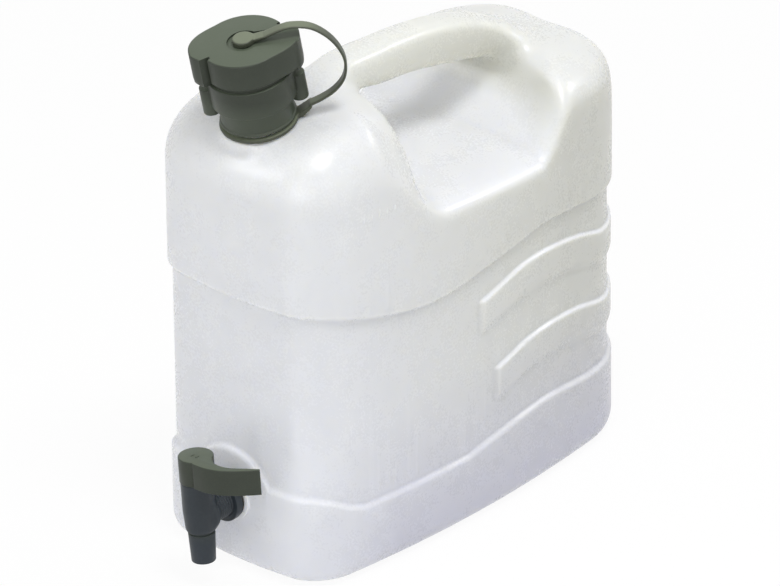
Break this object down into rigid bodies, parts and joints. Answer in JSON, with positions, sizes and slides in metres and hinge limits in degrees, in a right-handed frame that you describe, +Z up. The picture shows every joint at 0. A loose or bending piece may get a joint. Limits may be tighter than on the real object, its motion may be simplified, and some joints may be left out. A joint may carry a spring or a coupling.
{
  "type": "water can",
  "caption": "Natural-white blow-moulded camping water can with a through carrying handle, a strapped screw cap on a tilted neck and a lever drain tap at the foot of its front.",
  "frame": {"origin": "middle of the base's plan, on the floor that the can stands on", "axes": "+Z up, the can's length along Y with the neck and the tap at -Y, its width along X"},
  "size_m": [0.1582, 0.3442, 0.3612],
  "materials": {
    "natural_plastic": "satin, milky translucent",
    "grey_green_plastic": "semi-matte moulded",
    "dark_plastic": "semi-matte moulded",
    "sealing_rubber": "matte"
  },
  "bodies": {
    "can": {"canister": "natural_plastic", "tap_body": "dark_plastic", "tap_lock_nut": "dark_plastic", "tap_gasket": "sealing_rubber"},
    "tether_base": {"tether_ring": "grey_green_plastic", "cap_strap": "grey_green_plastic"},
    "cap_carrier": {"tether_eyelet": "grey_green_plastic"},
    "cap": {"cap_body": "grey_green_plastic", "cap_gasket": "sealing_rubber"},
    "tap_lever": {"tap_plug": "grey_green_plastic"}
  },
  "joints": [
    {"name": "tether_swing", "type": "hinge", "parent": "can", "child": "tether_base", "pos_m": [0, -0.1209, 0.2919], "axis": [0, -0.2164, 0.9763], "continuous": true},
    {"name": "cap_lift", "type": "slide", "parent": "tether_base", "child": "cap_carrier", "axis": [0, -0.2164, 0.9763], "range_m": [0, 0.045], "deforming": ["cap_strap"]},
    {"name": "cap_turn", "type": "hinge", "parent": "cap_carrier", "child": "cap", "pos_m": [0, -0.1209, 0.2919], "axis": [0, -0.2164, 0.9763], "range_deg": [0, 540]},
    {"name": "tap_turn", "type": "hinge", "parent": "can", "child": "tap_lever", "pos_m": [0, -0.18, 0.048], "axis": [-0.0698, 0, 0.9976], "range_deg": [-90, 0]}
  ]
}
